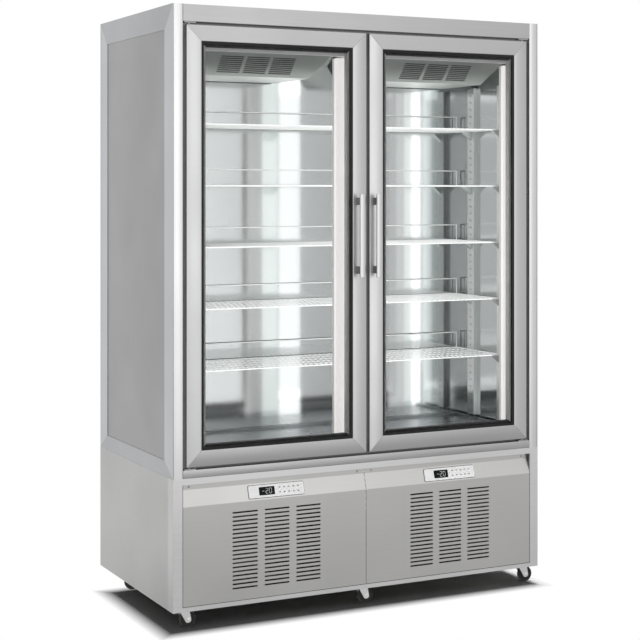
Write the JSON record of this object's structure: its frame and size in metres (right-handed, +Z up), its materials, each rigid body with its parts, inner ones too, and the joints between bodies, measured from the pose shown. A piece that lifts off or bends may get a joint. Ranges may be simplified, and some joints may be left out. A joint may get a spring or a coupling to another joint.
{
  "type": "refrigerated display case",
  "caption": "Upright two-door glass-front freezer display case with lit wire shelves over a vented machine base on swivel casters; doors swing open.",
  "frame": {"origin": "on the floor, under the middle of the case measured with its handles", "axes": "+Z up, +X to the right seen from the front, the doors face -Y"},
  "size_m": [1.29, 0.695, 1.85],
  "materials": {
    "front_steel": "satin brushed front frame",
    "side_frame_steel": "satin, slightly blue grey",
    "side_sheet": "brushed sheet",
    "door_aluminium": "satin anodised",
    "glass": "clear float glass",
    "black_rubber": "matte",
    "handle_steel": "fine brushed",
    "liner_steel": "polished inner lining",
    "foam": "rigid insulating foam",
    "trim_grey": "smooth light grey",
    "lamp_body": "anodised",
    "lamp_white": "milky diffuser",
    "tray_steel": "brushed sheet",
    "shelf_wire": "pale plastic-coated wire",
    "support_steel": "folded strip",
    "hood_grey": "pale grey green enamel",
    "fin_aluminium": "mill finish fins",
    "motor_black": "black enamel",
    "fan_plastic": "moulded",
    "base_sheet": "satin warm grey",
    "vent_steel": "satin brushed",
    "zinc": "zinc plated",
    "controller_white": "smooth white",
    "display_black": "black window",
    "copper": "bare copper tube",
    "pan_plastic": "moulded",
    "wheel_rubber": "dark grey tread"
  },
  "bodies": {
    "cabinet": {"front_frame": "front_steel", "side_frames": "side_frame_steel", "side_panels": "side_sheet", "roof_panel": "side_sheet", "back_panel": "side_sheet", "insulation": "foam", "inner_liner": "liner_steel", "opening_trim": "trim_grey", "center_mullion": "trim_grey", "lamp_housings": "lamp_body", "lamp_diffusers": "lamp_white", "floor_tray": "tray_steel", "shelf_uprights": "support_steel", "shelf_brackets": "support_steel", "evaporator_hoods": "hood_grey", "evaporator_coils": "fin_aluminium", "fan_motors": "motor_black", "base_frame": "front_steel", "base_panels": "base_sheet", "base_pan": "zinc", "vent_panels": "vent_steel", "panel_screws": "zinc", "controllers": "controller_white", "controller_displays": "display_black", "compressors": "motor_black", "condensers": "fin_aluminium", "refrigerant_lines": "copper", "drain_pan": "pan_plastic", "cable_gland": "pan_plastic", "caster_plates": "zinc", "hinge_pivots": "zinc", "shelf_1": "shelf_wire", "shelf_2": "shelf_wire", "shelf_3": "shelf_wire", "shelf_4": "shelf_wire", "shelf_5": "shelf_wire"},
    "door_left": {"door_frame_left": "door_aluminium", "door_glass_left": "glass", "door_gasket_left": "black_rubber", "door_handle_left": "handle_steel"},
    "evaporator_fan_left": {"evaporator_fan_left": "fan_plastic"},
    "condenser_fan_left": {"condenser_fan_left": "fan_plastic"},
    "door_right": {"door_frame_right": "door_aluminium", "door_glass_right": "glass", "door_gasket_right": "black_rubber", "door_handle_right": "handle_steel"},
    "evaporator_fan_right": {"evaporator_fan_right": "fan_plastic"},
    "condenser_fan_right": {"condenser_fan_right": "fan_plastic"},
    "caster_fork_1": {"caster_fork_1": "zinc"},
    "caster_wheel_1": {"caster_wheel_1": "wheel_rubber"},
    "caster_fork_2": {"caster_fork_2": "zinc"},
    "caster_wheel_2": {"caster_wheel_2": "wheel_rubber"},
    "caster_fork_3": {"caster_fork_3": "zinc"},
    "caster_wheel_3": {"caster_wheel_3": "wheel_rubber"},
    "caster_fork_4": {"caster_fork_4": "zinc"},
    "caster_wheel_4": {"caster_wheel_4": "wheel_rubber"},
    "caster_fork_5": {"caster_fork_5": "zinc"},
    "caster_wheel_5": {"caster_wheel_5": "wheel_rubber"},
    "caster_fork_6": {"caster_fork_6": "zinc"},
    "caster_wheel_6": {"caster_wheel_6": "wheel_rubber"}
  },
  "joints": [
    {"name": "door_left_hinge", "type": "hinge", "parent": "cabinet", "child": "door_left", "pos_m": [-0.5895, -0.3005, 1.135], "axis": [0, 0, -1], "range_deg": [0, 110]},
    {"name": "evaporator_fan_left_spin", "type": "hinge", "parent": "cabinet", "child": "evaporator_fan_left", "pos_m": [-0.3225, -0.0852, 1.683], "axis": [0, 0, 1], "continuous": true},
    {"name": "condenser_fan_left_spin", "type": "hinge", "parent": "cabinet", "child": "condenser_fan_left", "pos_m": [-0.3225, -0.1795, 0.196], "axis": [0, 1, 0], "continuous": true},
    {"name": "door_right_hinge", "type": "hinge", "parent": "cabinet", "child": "door_right", "pos_m": [0.5895, -0.3005, 1.135], "axis": [0, 0, 1], "range_deg": [0, 110]},
    {"name": "evaporator_fan_right_spin", "type": "hinge", "parent": "cabinet", "child": "evaporator_fan_right", "pos_m": [0.3225, -0.0852, 1.683], "axis": [0, 0, 1], "continuous": true},
    {"name": "condenser_fan_right_spin", "type": "hinge", "parent": "cabinet", "child": "condenser_fan_right", "pos_m": [0.3225, -0.1795, 0.196], "axis": [0, 1, 0], "continuous": true},
    {"name": "caster_1_swivel", "type": "hinge", "parent": "cabinet", "child": "caster_fork_1", "pos_m": [-0.601, -0.2725, 0.06], "axis": [0, 0, 1], "continuous": true},
    {"name": "caster_1_roll", "type": "hinge", "parent": "caster_fork_1", "child": "caster_wheel_1", "pos_m": [-0.583, -0.2725, 0.025], "axis": [0, 1, 0], "continuous": true},
    {"name": "caster_2_swivel", "type": "hinge", "parent": "cabinet", "child": "caster_fork_2", "pos_m": [0, -0.2725, 0.06], "axis": [0, 0, 1], "continuous": true},
    {"name": "caster_2_roll", "type": "hinge", "parent": "caster_fork_2", "child": "caster_wheel_2", "pos_m": [0.018, -0.2725, 0.025], "axis": [0, 1, 0], "continuous": true},
    {"name": "caster_3_swivel", "type": "hinge", "parent": "cabinet", "child": "caster_fork_3", "pos_m": [0.601, -0.2725, 0.06], "axis": [0, 0, 1], "continuous": true},
    {"name": "caster_3_roll", "type": "hinge", "parent": "caster_fork_3", "child": "caster_wheel_3", "pos_m": [0.619, -0.2725, 0.025], "axis": [0, 1, 0], "continuous": true},
    {"name": "caster_4_swivel", "type": "hinge", "parent": "cabinet", "child": "caster_fork_4", "pos_m": [-0.601, 0.2125, 0.06], "axis": [0, 0, 1], "continuous": true},
    {"name": "caster_4_roll", "type": "hinge", "parent": "caster_fork_4", "child": "caster_wheel_4", "pos_m": [-0.583, 0.2125, 0.025], "axis": [0, 1, 0], "continuous": true},
    {"name": "caster_5_swivel", "type": "hinge", "parent": "cabinet", "child": "caster_fork_5", "pos_m": [0, 0.2125, 0.06], "axis": [0, 0, 1], "continuous": true},
    {"name": "caster_5_roll", "type": "hinge", "parent": "caster_fork_5", "child": "caster_wheel_5", "pos_m": [0.018, 0.2125, 0.025], "axis": [0, 1, 0], "continuous": true},
    {"name": "caster_6_swivel", "type": "hinge", "parent": "cabinet", "child": "caster_fork_6", "pos_m": [0.601, 0.2125, 0.06], "axis": [0, 0, 1], "continuous": true},
    {"name": "caster_6_roll", "type": "hinge", "parent": "caster_fork_6", "child": "caster_wheel_6", "pos_m": [0.619, 0.2125, 0.025], "axis": [0, 1, 0], "continuous": true}
  ]
}
